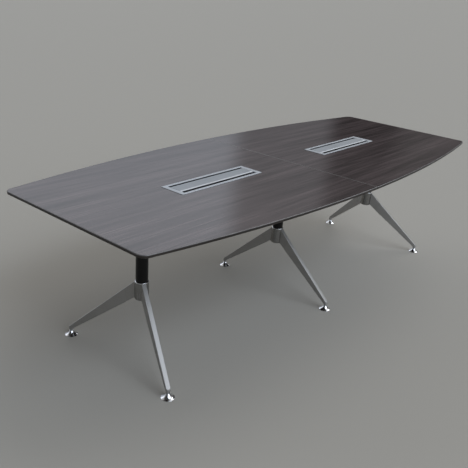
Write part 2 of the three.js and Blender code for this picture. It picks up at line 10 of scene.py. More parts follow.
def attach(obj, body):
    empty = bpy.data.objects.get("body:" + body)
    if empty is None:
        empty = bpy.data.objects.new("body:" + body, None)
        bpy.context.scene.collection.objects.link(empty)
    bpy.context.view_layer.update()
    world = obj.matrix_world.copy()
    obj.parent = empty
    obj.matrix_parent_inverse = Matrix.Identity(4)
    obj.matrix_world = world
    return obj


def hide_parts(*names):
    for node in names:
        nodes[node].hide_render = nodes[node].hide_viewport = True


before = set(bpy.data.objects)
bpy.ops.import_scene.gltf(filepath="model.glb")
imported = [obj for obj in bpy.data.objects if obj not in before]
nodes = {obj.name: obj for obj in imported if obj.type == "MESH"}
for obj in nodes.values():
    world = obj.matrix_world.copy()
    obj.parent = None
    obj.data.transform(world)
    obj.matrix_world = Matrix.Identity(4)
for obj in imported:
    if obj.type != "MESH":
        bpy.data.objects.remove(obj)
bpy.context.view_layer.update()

SIDES = ("left", "right")
PLACES = ("front", "back")
ROUND = 64

# The top, in metres as all sizes here
TOP_LENGTH = 2.743
TOP_WIDTH_MIDDLE = 1.118
TOP_WIDTH_END = 0.864
TOP_HEIGHT = 0.750
CORNER_RADIUS = 0.036
SIDE_STEPS = 60
CORNER_STEPS = 20
SEAM_HALF = 0.0005
EASED_SEAM = 0.003
BAND_HEIGHT = 0.012
BAND_THICKNESS = 0.003
BAND_ARRIS_RADIUS = 0.0027
BAND_FOOT_RADIUS = 0.0006
BAND_INNER_RADIUS = 0.0002
BAND_ARRIS_STEPS = 4

# The bases
BASE_X = 0.992
SPLAY = math.radians(23.5)
CLEARANCE = 0.0003
POST_RADIUS = 0.028
POST_WALL = 0.002
POST_BOTTOM_Z = 0.2873
POST_TOP_Z = 0.694
BEAD_CENTRE_RADIUS = 0.027
BEAD_WIDTH = 0.0028
BEAD_HALF_HEIGHT = 0.0022
BEAD_STEPS = 8
HUB_RADIUS = 0.032
HUB_BOTTOM_Z = 0.279
HUB_TOP_Z = 0.362
HUB_FLOOR = 0.008
HUB_HOLE_RADIUS = 0.004
HUB_PLUG_RADIUS = 0.0042
HUB_BOTTOM_ARRIS = 0.0055
HUB_TOP_ARRIS = 0.0008
RING_RADIUS = 0.0314
RING_BOTTOM_Z = 0.3623
RING_TOP_Z = 0.3673
RING_TOP_ARRIS = 0.0022
RING_SMALL_ARRIS = 0.0006

# The legs and the hubs' stub arms: heights fall with the distance from the post's axis
LEG_TOP_AT_AXIS = 0.3891
LEG_TOP_FALL = 0.9215
LEG_BOTTOM_AT_AXIS = 0.3043
LEG_BOTTOM_FALL = 0.769
LEG_START_LOW = 0.070
LEG_START_HIGH = 0.085
LEG_START_WIDTH = 0.0226
LEG_START_ROUNDING = ((0.0, 0.0010), (0.0003, 0.0003), (0.0010, 0.0))
LEG_TIP_WIDTH = 0.021
LEG_TIP_Z = 0.029
LEG_ARRIS = 0.0026
LEG_ARRIS_SHARE = 0.8
NOSE_SWEEP = math.radians(86)
NOSE_STEPS = 12
BOSS_BORE_RADIUS = 0.0044
BOSS_RADIUS = 0.0098
BOSS_TOP_Z = 0.045
BOSS_ARRIS = 0.0008
STUB_WIDTH = 0.0216
STUB_STEP = 0.0005
STUB_ARRIS = 0.0024
STUB_ROOT_DEPTH = 0.002
STUB_OVERLAP = 0.0002

# The glides: bell feet and threaded stems
FOOT_REACH = 0.365
BELL_RADIUS = 0.030
BELL_RIM = 0.0025
BELL_RIM_ROUND = 0.0006
BELL_HEIGHT = 0.022
BELL_NECK_RADIUS = 0.0085
BELL_HOLLOW = 0.3
BELL_FLARE_STEPS = 16
BELL_BORE_RADIUS = 0.0044
BELL_BORE_BOTTOM = 0.008
PIN_RADIUS = 0.0037
PIN_BOTTOM = 0.0083
PIN_TOP = 0.0225
STEM_RADIUS = 0.004
STEM_SIDES = 32
THREAD_BOTTOM = 0.0282
THREAD_TOP = 0.0455
THREAD_PITCH = 0.00125
THREAD_DEPTH = 0.00072
THREAD_ROWS_PER_TURN = 8
HEXAGON_HALF_FLATS = 0.0065
HEXAGON_BOTTOM = 0.0223
HEXAGON_TOP = 0.0283
HEXAGON_CHAMFER = 0.0006

# The brushes of the cable ports
PORT_X = 0.552
BRUSH_HALF = 0.248
BRUSH_REAR_Y = 0.0569
BRUSH_BACK_Y = 0.0533
BRUSH_TIP_Y = 0.0424
BRUSH_Z = 0.7455
BRUSH_BACK_BOTTOM_Z = 0.7425
BRUSH_BACK_TOP_Z = 0.7485
BRUSH_BACK_ARRIS = 0.0006
BRUSH_SEED = 4
TUFTS = 180
BRISTLES_PER_TUFT = 5
TUFT_SPREAD_X = 0.0009
TUFT_SPREAD_Z = 0.0014
BRISTLE_LEAN = 0.0007
BRISTLE_DROOP = 0.0008
BRISTLE_LIFT = 0.0006
BRISTLE_SHORTER = 0.0006
BRISTLE_ROOT_DEPTH = 0.0004
BRISTLE_ROOT_RADIUS = 0.00028
BRISTLE_TIP_RADIUS = 0.00018
BRISTLE_CORNERS = (0.5, 2.6, 4.7)

# The small fasteners under the top
RAIL_Y = 0.115
BOLT_X = 0.038
BOLT_FLATS = 0.013
BOLT_HEIGHT = 0.0065
BOLT_CHAMFER = 0.0008
WASHER_HEIGHT = 0.0015
WASHER_SHARE = 0.92
WASHER_ARRIS = 0.0004
SEAM_PLATE_Y = 0.380
SEAM_PLATE_Z = 0.721
SEAM_SCREWS = ((-0.070, 0.014), (-0.030, -0.014), (0.030, 0.014), (0.070, -0.014))
SEAM_SCREW = (0.0045, 0.0026)
TRAY_SCREWS_X = (-0.255, 0.0, 0.255)
TRAY_SCREWS_Y = 0.073
TRAY_FLANGE_Z = 0.7235
TRAY_SCREW = (0.0042, 0.0024)
RAIL_SCREWS_X = (-0.76, -0.28, 0.28, 0.76)
RAIL_BOTTOM_Z = 0.700
RAIL_SCREW = (0.0048, 0.0027)

# Mesh tolerances
MERGE = 1e-7
WELD = 1e-4
FLAT = math.radians(0.3)
SAME_HEIGHT = 1e-5


# Materials
NOISE_LOW = 0.3
NOISE_HIGH = 0.7


class Finish:
    """A node material with helpers for procedural detail in the piece's own coordinates."""

    def __init__(self, name, colour, metallic, roughness):
        self.material = bpy.data.materials.new(name)
        self.material.use_nodes = True
        self.tree = self.material.node_tree
        self.shader = self.tree.nodes["Principled BSDF"]
        self.shader.inputs["Base Color"].default_value = (*colour, 1)
        self.shader.inputs["Metallic"].default_value = metallic
        self.shader.inputs["Roughness"].default_value = roughness
        self.place = self.tree.nodes.new("ShaderNodeTexCoord").outputs["Object"]

    def noise(self, stretch, detail=3.0, offset=(0, 0, 0), distortion=0.0):
        """Soft noise with so many features a metre along X, Y and Z."""
        mapping = self.tree.nodes.new("ShaderNodeMapping")
        mapping.inputs["Scale"].default_value = stretch
        mapping.inputs["Location"].default_value = offset
        self.tree.links.new(self.place, mapping.inputs["Vector"])
        noise = self.tree.nodes.new("ShaderNodeTexNoise")
        noise.inputs["Scale"].default_value = 1.0
        noise.inputs["Detail"].default_value = detail
        noise.inputs["Distortion"].default_value = distortion
        self.tree.links.new(mapping.outputs["Vector"], noise.inputs["Vector"])
        return noise.outputs["Fac"]

    def mixed(self, first, second, share):
        """Two fields mixed, with the given share of the second."""
        mix = self.tree.nodes.new("ShaderNodeMix")
        mix.inputs["Factor"].default_value = share
        self.tree.links.new(first, mix.inputs["A"])
        self.tree.links.new(second, mix.inputs["B"])
        return mix.outputs["Result"]

    def colour(self, field, *stops):
        """Colours along a field, as pairs of place and colour."""
        ramp = self.tree.nodes.new("ShaderNodeValToRGB")
        elements = ramp.color_ramp.elements
        while len(elements) < len(stops):
            elements.new(0.5)
        for element, (place, colour) in zip(elements, stops):
            element.position = place
            element.color = (*colour, 1)
        self.tree.links.new(field, ramp.inputs["Fac"])
        self.tree.links.new(ramp.outputs["Color"], self.shader.inputs["Base Color"])

    def roughness(self, field, least, most):
        """Roughness from least to most over the usual range of a noise field."""
        spread = self.tree.nodes.new("ShaderNodeMapRange")
        spread.inputs["From Min"].default_value = NOISE_LOW
        spread.inputs["From Max"].default_value = NOISE_HIGH
        spread.inputs["To Min"].default_value = least
        spread.inputs["To Max"].default_value = most
        self.tree.links.new(field, spread.inputs["Value"])
        self.tree.links.new(spread.outputs["Result"], self.shader.inputs["Roughness"])

    def bump(self, field, strength, distance):
        bump = self.tree.nodes.new("ShaderNodeBump")
        bump.inputs["Strength"].default_value = strength
        bump.inputs["Distance"].default_value = distance
        self.tree.links.new(field, bump.inputs["Height"])
        self.tree.links.new(bump.outputs["Normal"], self.shader.inputs["Normal"])


def scaled(colour, factor):
    return tuple(part * factor for part in colour)


def laminate(name, offset):
    """Dark wood-grain laminate with long straight streaks along X and fine pores."""
    finish = Finish(name, (0.03, 0.026, 0.027), metallic=0.0, roughness=0.4)
    broad = finish.noise((0.9, 17, 17), detail=3.0, offset=(offset, 0, 0), distortion=0.25)
    streaks = finish.noise((2.2, 75, 75), detail=4.0, offset=(offset, 3, 0), distortion=0.2)
    lines = finish.noise((5.0, 330, 330), detail=4.0, offset=(offset, 7, 0))
    grain = finish.mixed(finish.mixed(broad, streaks, share=0.5), lines, share=0.35)
    finish.colour(
        grain,
        (0.38, (0.0160, 0.0112, 0.0115)),
        (0.50, (0.0450, 0.0330, 0.0340)),
        (0.62, (0.0860, 0.0650, 0.0660)),
    )
    pores = finish.noise((14, 900, 900), detail=2.0, offset=(offset, 11, 0))
    finish.roughness(finish.mixed(lines, pores, share=0.5), least=0.09, most=0.16)
    finish.bump(pores, strength=0.08, distance=0.0002)
    return finish.material


def edge_band():
    """Dark satin plastic with a faint grain along the band."""
    finish = Finish("edge_band", (0.012, 0.010, 0.010), metallic=0.0, roughness=0.34)
    finish.shader.inputs["Specular IOR Level"].default_value = 0.35
    grain = finish.noise((3, 3, 260), detail=4.0)
    finish.colour(grain, (0.35, (0.0142, 0.0113, 0.0098)), (0.65, (0.0254, 0.0201, 0.0175)))
    finish.roughness(finish.noise((40, 40, 500)), least=0.28, most=0.40)
    finish.bump(finish.noise((12, 12, 900)), strength=0.08, distance=0.0001)
    return finish.material


def brushed(name, colour, roughness, stretch, wear):
    """Brushed or fine-ground light metal, with the lines along its longest direction."""
    finish = Finish(name, colour, metallic=1.0, roughness=roughness)
    lines = finish.noise(stretch, detail=4.0)
    clouds = finish.noise((9, 9, 9), detail=3.0, offset=(5, 2, 1))
    tone = finish.mixed(lines, clouds, share=0.45)
    finish.colour(tone, (0.34, scaled(colour, 1 - wear)), (0.66, scaled(colour, 1 + wear)))
    finish.roughness(tone, least=roughness - 0.06, most=roughness + 0.07)
    finish.bump(lines, strength=0.06, distance=0.00008)
    return finish.material


def polished(name, colour, roughness):
    """Bright plating with faint smears."""
    finish = Finish(name, colour, metallic=1.0, roughness=roughness)
    smears = finish.noise((45, 45, 45), detail=3.0)
    finish.colour(smears, (NOISE_LOW, scaled(colour, 0.94)), (NOISE_HIGH, colour))
    finish.roughness(smears, least=roughness * 0.6, most=roughness * 1.6)
    finish.bump(finish.noise((260, 260, 260)), strength=0.01, distance=0.00005)
    return finish.material


def coated(name, colour, roughness, grain, depth, gloss=0.5):
    """Powder-coated or moulded surface with an even fine grain."""
    finish = Finish(name, colour, metallic=0.0, roughness=roughness)
    finish.shader.inputs["Specular IOR Level"].default_value = gloss
    patches = finish.noise((14, 14, 14), detail=3.0)
    finish.colour(patches, (NOISE_LOW, scaled(colour, 0.75)), (NOISE_HIGH, scaled(colour, 1.3)))
    finish.roughness(patches, least=roughness - 0.05, most=roughness + 0.06)
    finish.bump(finish.noise((grain, grain, grain), detail=2.0), strength=depth, distance=0.0002)
    return finish.material


def zinc_plate():
    """Zinc plating with a fine mottle."""
    finish = Finish("zinc_plate", (0.45, 0.45, 0.46), metallic=1.0, roughness=0.4)
    spangle = finish.noise((170, 170, 170), detail=2.0)
    finish.colour(spangle, (0.35, (0.36, 0.37, 0.39)), (0.65, (0.54, 0.53, 0.50)))
    finish.roughness(spangle, least=0.30, most=0.48)
    finish.bump(finish.noise((600, 600, 600)), strength=0.05, distance=0.0001)
    return finish.material


def beech():
    """Bare beech with its grain along X."""
    finish = Finish("beech", (0.43, 0.26, 0.11), metallic=0.0, roughness=0.65)
    grain = finish.noise((20, 500, 500), detail=4.0)
    finish.colour(grain, (0.35, (0.33, 0.19, 0.08)), (0.65, (0.50, 0.32, 0.15)))
    finish.roughness(grain, least=0.58, most=0.72)
    finish.bump(grain, strength=0.2, distance=0.0002)
    return finish.material


ALONG_LEG = (7, 420, 420)
ALONG_PORT = (6, 900, 900)
UPRIGHT = (420, 420, 9)

LAMINATE = {"left": laminate("laminate_left", 4.0), "right": laminate("laminate_right", 19.0)}
EDGE = edge_band()
# The eased seam edges are painted lighter than the laminate: a painted highlight along the seam.
SEAM_PAINTED_HIGHLIGHT = coated("seam_painted_highlight", (0.074, 0.068, 0.068), roughness=0.30, grain=700, depth=0.05)
# The band's rounded arris is painted much lighter than the band: a painted highlight along the edge.
BAND_ARRIS_PAINTED_HIGHLIGHT = coated("band_arris_painted_highlight", (0.088, 0.084, 0.085), roughness=0.24, grain=700, depth=0.03)
LEG_METAL = brushed("leg_metal", (0.405, 0.397, 0.386), roughness=0.60, stretch=ALONG_LEG, wear=0.08)
HUB_METAL = brushed("hub_metal", (0.27, 0.268, 0.262), roughness=0.24, stretch=UPRIGHT, wear=0.10)
PORT_METAL = brushed("port_metal", (0.308, 0.331, 0.357), roughness=0.55, stretch=ALONG_PORT, wear=0.10)
PORT_RIM = brushed("port_rim", (0.430, 0.456, 0.492), roughness=0.50, stretch=ALONG_PORT, wear=0.08)
# The lid's near bevel is painted lighter than the lid: a painted highlight. Its lower roughness makes it a
# smoother face.
LID_BEVEL_PAINTED_HIGHLIGHT = brushed("lid_bevel_painted_highlight", (0.420, 0.446, 0.484), roughness=0.42, stretch=ALONG_PORT, wear=0.06)
CHROME = polished("chrome", (0.74, 0.75, 0.77), roughness=0.07)
POST_BLACK = coated(
    "post_black", (0.0011, 0.0011, 0.0013), roughness=0.22, grain=800, depth=0.03, gloss=0.25,
)
FRAME_BLACK = coated("frame_black", (0.010, 0.010, 0.011), roughness=0.45, grain=1500, depth=0.20)
PLASTIC = coated("black_plastic", (0.010, 0.010, 0.011), roughness=0.52, grain=2200, depth=0.15)
BRISTLE = coated("nylon_bristle", (0.009, 0.009, 0.010), roughness=0.46, grain=700, depth=0.05)
ZINC = zinc_plate()
BEECH = beech()


# Mesh helpers
def rounded(points, radii, steps=5):
    """A closed polygon's points, each corner rounded by its own radius."""
    outline = []
    count = len(points)
    for i, radius in enumerate(radii):
        corner = Vector(points[i])
        if radius <= 0:
            outline.append(corner)
            continue
        before = (Vector(points[i - 1]) - corner).normalized()
        after = (Vector(points[(i + 1) % count]) - corner).normalized()
        half = before.angle(after) / 2
        centre = corner + (before + after).normalized() * (radius / math.sin(half))
        start = corner + before * (radius / math.tan(half)) - centre
        end = corner + after * (radius / math.tan(half)) - centre
        sweep = start.angle(end)
        for step in range(steps + 1):
            share = step / steps
            first = math.sin((1 - share) * sweep) / math.sin(sweep)
            second = math.sin(share * sweep) / math.sin(sweep)
            outline.append(centre + start * first + end * second)
    return outline


def hexagon(corner, z, centre=(0, 0), first=0.0):
    """A level hexagon's points round a centre, from its first corner's angle."""
    angles = [first + math.pi * k / 3 for k in range(6)]
    return [(centre[0] + corner * math.cos(a), centre[1] + corner * math.sin(a), z) for a in angles]


class Builder:
    """Gathers closed shells into one mesh."""

    def __init__(self):
        self.vertices = []
        self.faces = []
        self.finishes = []

    def shell(self, vertices, faces, finish=0):
        """Adds a shell whose faces take the piece's material of that number."""
        first = len(self.vertices)
        self.vertices += [tuple(vertex) for vertex in vertices]
        self.faces += [[first + i for i in face] for face in faces]
        self.finishes += [finish] * len(faces)

    def loft(self, rings, closed=False):
        """A skin through equal rings of points, with capped ends or joined back to its start."""
        count = len(rings[0])
        vertices = [point for ring in rings for point in ring]
        faces = []
        last = len(rings) if closed else len(rings) - 1
        for ring in range(last):
            here = ring * count
            there = ((ring + 1) % len(rings)) * count
            for i in range(count):
                j = (i + 1) % count
                faces.append([here + i, here + j, there + j, there + i])
        if not closed:
            faces.append(list(range(count))[::-1])
            faces.append([len(vertices) - count + i for i in range(count)])
        self.shell(vertices, faces)

    def turned(self, profile, centre=(0, 0), segments=ROUND):
        """A closed profile of radius and height turned about an upright axis."""
        rings = []
        for i in range(segments):
            angle = 2 * math.pi * i / segments
            c, s = math.cos(angle), math.sin(angle)
            rings.append([(centre[0] + r * c, centre[1] + r * s, z) for r, z in profile])
        self.loft(rings, closed=True)

    def moved(self, matrix):
        self.vertices = [tuple(matrix @ Vector(vertex)) for vertex in self.vertices]

    def piece(self, name, materials, body, slot, matrix=None, replaces=(), sharp=35):
        """Makes the shells one piece that rides on a body, with edges over sharp degrees left hard."""
        mesh = bpy.data.meshes.new(name)
        mesh.from_pydata(self.vertices, [], self.faces)
        mesh.polygons.foreach_set("material_index", self.finishes)
        work = bmesh.new()
        work.from_mesh(mesh)
        bmesh.ops.remove_doubles(work, verts=work.verts, dist=MERGE)
        bmesh.ops.dissolve_degenerate(work, edges=work.edges, dist=MERGE)
        bmesh.ops.recalc_face_normals(work, faces=work.faces)
        work.to_mesh(mesh)
        work.free()
        mesh.shade_smooth()
        mesh.set_sharp_from_angle(angle=math.radians(sharp))
        for material in materials:
            mesh.materials.append(material)
        piece = bpy.data.objects.new(name, mesh)
        bpy.context.scene.collection.objects.link(piece)
        even = piece.modifiers.new("even", "WEIGHTED_NORMAL")
        even.keep_sharp = True
        if matrix is not None:
            piece.matrix_world = matrix
        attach(piece, body)
        if replaces:
            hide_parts(*replaces)


def refine(names, material, width, angle=25, eased=None, second=None):
    """Gives solids that keep their own shape a finish and small rounded edges.

    A second finish is added for chosen faces. Edges between vertices that pass the test in eased are
    rounded more, by EASED_SEAM, and take that finish.
    """
    for name in names:
        node = nodes[name]
        node.data.materials.clear()
        node.data.materials.append(material)
        if second:
            node.data.materials.append(second)
        weld = node.modifiers.new("weld", "WELD")
        weld.merge_threshold = WELD
        flat = node.modifiers.new("flat", "DECIMATE")
        flat.decimate_type = "DISSOLVE"
        flat.angle_limit = FLAT
        if eased:
            weights = node.data.attributes.new("bevel_weight_edge", "FLOAT", "EDGE")
            for edge in node.data.edges:
                if all(eased(node.data.vertices[i].co) for i in edge.vertices):
                    weights.data[edge.index].value = 1.0
            ease = node.modifiers.new("ease", "BEVEL")
            ease.width = EASED_SEAM
            ease.segments = 3
            ease.limit_method = "WEIGHT"
            ease.harden_normals = True
            ease.material = 1
        bevel = node.modifiers.new("bevel", "BEVEL")
        bevel.width = width
        bevel.segments = 2
        bevel.limit_method = "ANGLE"
        bevel.angle_limit = math.radians(angle)
        bevel.harden_normals = True


# Top: the panels keep their solids, and a finer band with a rounded arris goes round each
half_length = TOP_LENGTH / 2
side_rise = (TOP_WIDTH_MIDDLE - TOP_WIDTH_END) / 2
side_radius = (half_length ** 2 + side_rise ** 2) / (2 * side_rise)
side_centre = TOP_WIDTH_MIDDLE / 2 - side_radius


def half_outline(inset):
    """The right half's outline, from the front of the seam round the end to its back."""
    corner_x = half_length - CORNER_RADIUS
    corner_y = side_centre + math.sqrt((side_radius - CORNER_RADIUS) ** 2 - corner_x ** 2)
    tangent = math.atan2(corner_x, corner_y - side_centre)
    side = side_radius - inset
    first = math.asin(SEAM_HALF / side)
    back = []
    for i in range(SIDE_STEPS + 1):
        angle = first + (tangent - first) * i / SIDE_STEPS
        back.append((side * math.sin(angle), side_centre + side * math.cos(angle)))
    corner = CORNER_RADIUS - inset
    for i in range(1, CORNER_STEPS + 1):
        angle = tangent + (math.pi / 2 - tangent) * i / CORNER_STEPS
        back.append((corner_x + corner * math.sin(angle), corner_y + corner * math.cos(angle)))
    return [(x, -y) for x, y in back] + back[::-1]


def band_shape():
    """The right half's edge band, whose rounded arris takes the second finish, lighter than the band: a
    painted highlight.
    """
    low = TOP_HEIGHT - BAND_HEIGHT
    section = rounded(
        [(0, low), (0, TOP_HEIGHT), (BAND_THICKNESS, TOP_HEIGHT), (BAND_THICKNESS, low)],
        [BAND_FOOT_RADIUS, BAND_ARRIS_RADIUS, BAND_INNER_RADIUS, BAND_INNER_RADIUS],
        BAND_ARRIS_STEPS,
    )
    outlines = [half_outline(inset) for inset, _ in section]
    heights = [z for _, z in section]
    band = Builder()
    band.loft([
        [(*outline[i], z) for outline, z in zip(outlines, heights)]
        for i in range(len(outlines[0]))
    ])
    arris_start = BAND_ARRIS_STEPS + 1
    arris = range(arris_start, arris_start + BAND_ARRIS_STEPS)
    # The arris faces take the lighter finish, a painted highlight.
    band.finishes = [int(i % len(section) in arris) for i in range(len(band.faces))]
    return band


def on_seam(point):
    return abs(point.x) < 2 * SEAM_HALF and point.z > TOP_HEIGHT - SAME_HEIGHT


for side, turn in (("right", 0), ("left", math.pi)):
    # The eased seam edges take the lighter finish, a painted highlight.
    refine([f"top_panel_{side}"], LAMINATE[side], width=0.0004, eased=on_seam, second=SEAM_PAINTED_HIGHLIGHT)
    band = band_shape()
    band.moved(Matrix.Rotation(turn, 4, "Z"))
    band.piece(
        f"edge_band_fine_{side}", [EDGE, BAND_ARRIS_PAINTED_HIGHLIGHT], "table", "edge_band", replaces=[f"edge_band_{side}"],
    )


# Bases: each leg is a loft between a slanted inner end and a round nose, with soft arrises
def leg_top(r):
    return LEG_TOP_AT_AXIS - LEG_TOP_FALL * r


def leg_bottom(r):
    return LEG_BOTTOM_AT_AXIS - LEG_BOTTOM_FALL * r


def leg_section(bottom, top, width, arris, inset=0.0):
    """A rounded rectangle across a leg from a bottom to a top point, in radius, width and height."""
    low, high = Vector(bottom), Vector(top)
    tall = (high - low).length
    half = width / 2 - inset
    radius = min(arris, half * LEG_ARRIS_SHARE)
    corners = [(inset, -half), (tall - inset, -half), (tall - inset, half), (inset, half)]
    points = []
    for along, across in rounded(corners, [radius] * 4, steps=4):
        point = low + (high - low) * (along / tall)
        points.append((point.x, across, point.y))
    return points


def start_section(step, width, arris, inset):
    """The slanted section at a leg's inner end, moved outwards by a step."""
    low, high = LEG_START_LOW + step, LEG_START_HIGH + step
    return leg_section((low, leg_bottom(low)), (high, leg_top(high)), width, arris, inset)


def leg_shape():
    """A tapered leg along X with a bored boss at its tip."""
    leg = Builder()
    rings = [start_section(step, LEG_START_WIDTH, LEG_ARRIS, inset) for step, inset in LEG_START_ROUNDING]
    for i in range(NOSE_STEPS + 1):
        angle = NOSE_SWEEP * i / NOSE_STEPS
        r = FOOT_REACH + LEG_TIP_WIDTH / 2 * math.sin(angle)
        bottom = max(leg_bottom(r), LEG_TIP_Z)
        rings.append(leg_section((r, bottom), (r, leg_top(r)), LEG_TIP_WIDTH * math.cos(angle), LEG_ARRIS))
    leg.loft(rings)
    boss = rounded(
        [(BOSS_BORE_RADIUS, LEG_TIP_Z), (BOSS_RADIUS, LEG_TIP_Z),
         (BOSS_RADIUS, BOSS_TOP_Z), (BOSS_BORE_RADIUS, BOSS_TOP_Z)],
        [0, BOSS_ARRIS, 0, 0],
        steps=3,
    )
    leg.turned(boss, (FOOT_REACH, 0), segments=48)
    return leg


def hub_shape(angles):
    """A barrel with rounded ends and a stub arm for each leg, which takes the second finish."""
    hub = Builder()
    inner = POST_RADIUS + CLEARANCE
    floor_z = HUB_BOTTOM_Z + HUB_FLOOR
    hub.turned(rounded(
        [(HUB_HOLE_RADIUS, HUB_BOTTOM_Z), (HUB_RADIUS, HUB_BOTTOM_Z), (HUB_RADIUS, HUB_TOP_Z),
         (inner, HUB_TOP_Z), (inner, floor_z), (HUB_HOLE_RADIUS, floor_z)],
        [0, HUB_BOTTOM_ARRIS, HUB_TOP_ARRIS, 0, 0, 0],
        steps=8,
    ))
    hub.turned([
        (0.0, HUB_BOTTOM_Z), (HUB_PLUG_RADIUS, HUB_BOTTOM_Z), (HUB_PLUG_RADIUS, floor_z), (0.0, floor_z),
    ])
    root = HUB_RADIUS - STUB_ROOT_DEPTH
    root_bottom = (root, leg_bottom(root) + STUB_STEP)
    root_top = (root, HUB_TOP_Z - STUB_STEP)
    for angle in angles:
        arm = Builder()
        arm.loft([
            leg_section(root_bottom, root_top, STUB_WIDTH, STUB_ARRIS),
            start_section(STUB_OVERLAP, STUB_WIDTH, STUB_ARRIS, STUB_STEP),
        ])
        arm.moved(Matrix.Rotation(angle, 4, "Z"))
        hub.shell(arm.vertices, arm.faces, finish=1)
    return hub


def ring_shape():
    """The collar ring on a hub, with a soft upper arris."""
    ring = Builder()
    inner = POST_RADIUS + CLEARANCE
    ring.turned(rounded(
        [(inner, RING_BOTTOM_Z), (RING_RADIUS, RING_BOTTOM_Z),
         (RING_RADIUS, RING_TOP_Z), (inner, RING_TOP_Z)],
        [0, RING_SMALL_ARRIS, RING_TOP_ARRIS, RING_SMALL_ARRIS],
        steps=6,
    ))
    return ring


def post_shape():
    """A tube with a weld bead round its top."""
    post = Builder()
    inner = POST_RADIUS - POST_WALL
    post.turned([
        (inner, POST_BOTTOM_Z), (POST_RADIUS, POST_BOTTOM_Z),
        (POST_RADIUS, POST_TOP_Z), (inner, POST_TOP_Z),
    ])
    bead = []
    for k in range(BEAD_STEPS + 1):
        angle = math.pi * (-0.5 + k / BEAD_STEPS)
        bead.append((
            BEAD_CENTRE_RADIUS + BEAD_WIDTH * math.cos(angle),
            POST_TOP_Z - BEAD_HALF_HEIGHT + BEAD_HALF_HEIGHT * math.sin(angle),
        ))
    post.turned(bead + [(BEAD_CENTRE_RADIUS, POST_TOP_Z)])
    return post


def bell_shape():
    """A bell foot that flares from its neck to a thin rim on a hollow curve inside a straight cone."""
    bell = Builder()
    rim = Vector((BELL_RADIUS - BELL_RIM_ROUND, BELL_RIM))
    neck = Vector((BELL_NECK_RADIUS, BELL_HEIGHT))
    pull = rim.lerp(neck, 0.5).lerp(Vector((BELL_NECK_RADIUS, BELL_RIM)), BELL_HOLLOW)
    profile = [
        (0.0, 0.0),
        (BELL_RADIUS - BELL_RIM_ROUND, 0.0),
        (BELL_RADIUS, BELL_RIM_ROUND),
        (BELL_RADIUS, BELL_RIM - BELL_RIM_ROUND),
    ]
    for i in range(BELL_FLARE_STEPS + 1):
        share = i / BELL_FLARE_STEPS
        profile.append(tuple(rim.lerp(pull, share).lerp(pull.lerp(neck, share), share)))
    profile += [
        (BELL_BORE_RADIUS, BELL_HEIGHT),
        (BELL_BORE_RADIUS, BELL_BORE_BOTTOM),
        (0.0, BELL_BORE_BOTTOM),
    ]
    bell.turned(profile)
    return bell


def stem_shape():
    """A screw with a rolled thread and a hexagon with chamfered corners."""
    stem = Builder()
    stem.turned(
        [(0.0, PIN_BOTTOM), (PIN_RADIUS, PIN_BOTTOM), (PIN_RADIUS, PIN_TOP), (0.0, PIN_TOP)],
        segments=STEM_SIDES,
    )
    length = THREAD_TOP - THREAD_BOTTOM
    rows = int(length / THREAD_PITCH * THREAD_ROWS_PER_TURN)
    rings = []
    for row in range(rows + 1):
        z = THREAD_BOTTOM + length * row / rows
        ring = []
        for i in range(STEM_SIDES):
            share = (z / THREAD_PITCH - i / STEM_SIDES) % 1.0
            r = STEM_RADIUS - THREAD_DEPTH * (1 - abs(2 * share - 1))
            angle = 2 * math.pi * i / STEM_SIDES
            ring.append((r * math.cos(angle), r * math.sin(angle), z))
        rings.append(ring)
    stem.loft(rings)
    corner = HEXAGON_HALF_FLATS / math.cos(math.pi / 6)
    levels = (
        (HEXAGON_BOTTOM, corner - HEXAGON_CHAMFER),
        (HEXAGON_BOTTOM + HEXAGON_CHAMFER, corner),
        (HEXAGON_TOP - HEXAGON_CHAMFER, corner),
        (HEXAGON_TOP, corner - HEXAGON_CHAMFER),
    )
    stem.loft([hexagon(reach, z, first=math.pi / 6) for z, reach in levels])
    return stem


straight = math.pi / 2
BASES = (
    ("left", -BASE_X, -straight - SPLAY, straight + SPLAY),
    ("middle", 0.0, -straight, straight),
    ("right", BASE_X, -straight + SPLAY, straight - SPLAY),
)
for base, x, front, back in BASES:
    here = Matrix.Translation((x, 0, 0))
    post_shape().piece(
        f"post_smooth_{base}", [POST_BLACK], "table", "black_steel", here, [f"post_{base}"],
    )
    hub_shape((front, back)).piece(
        f"hub_smooth_{base}", [HUB_METAL, LEG_METAL], "table", "cast_aluminium", here, [f"hub_{base}"],
    )
    ring_shape().piece(
        f"hub_ring_smooth_{base}", [CHROME], "table", "chrome", here, [f"hub_ring_{base}"],
    )
    for place, angle in zip(PLACES, (front, back)):
        key = f"{base}_{place}"
        along = here @ Matrix.Rotation(angle, 4, "Z")
        foot = along @ Matrix.Translation((FOOT_REACH, 0, 0))
        leg_shape().piece(
            f"leg_smooth_{key}", [LEG_METAL], "table", "cast_aluminium", along, [f"leg_{key}"],
        )
        bell_shape().piece(
            f"bell_smooth_{key}", [CHROME], f"foot_{key}", "chrome", foot, [f"glide_foot_{key}"],
        )
        stem_shape().piece(
            f"stem_threaded_{key}", [ZINC], f"stem_{key}", "zinc_steel", foot, [f"glide_stem_{key}"],
            sharp=50,
        )


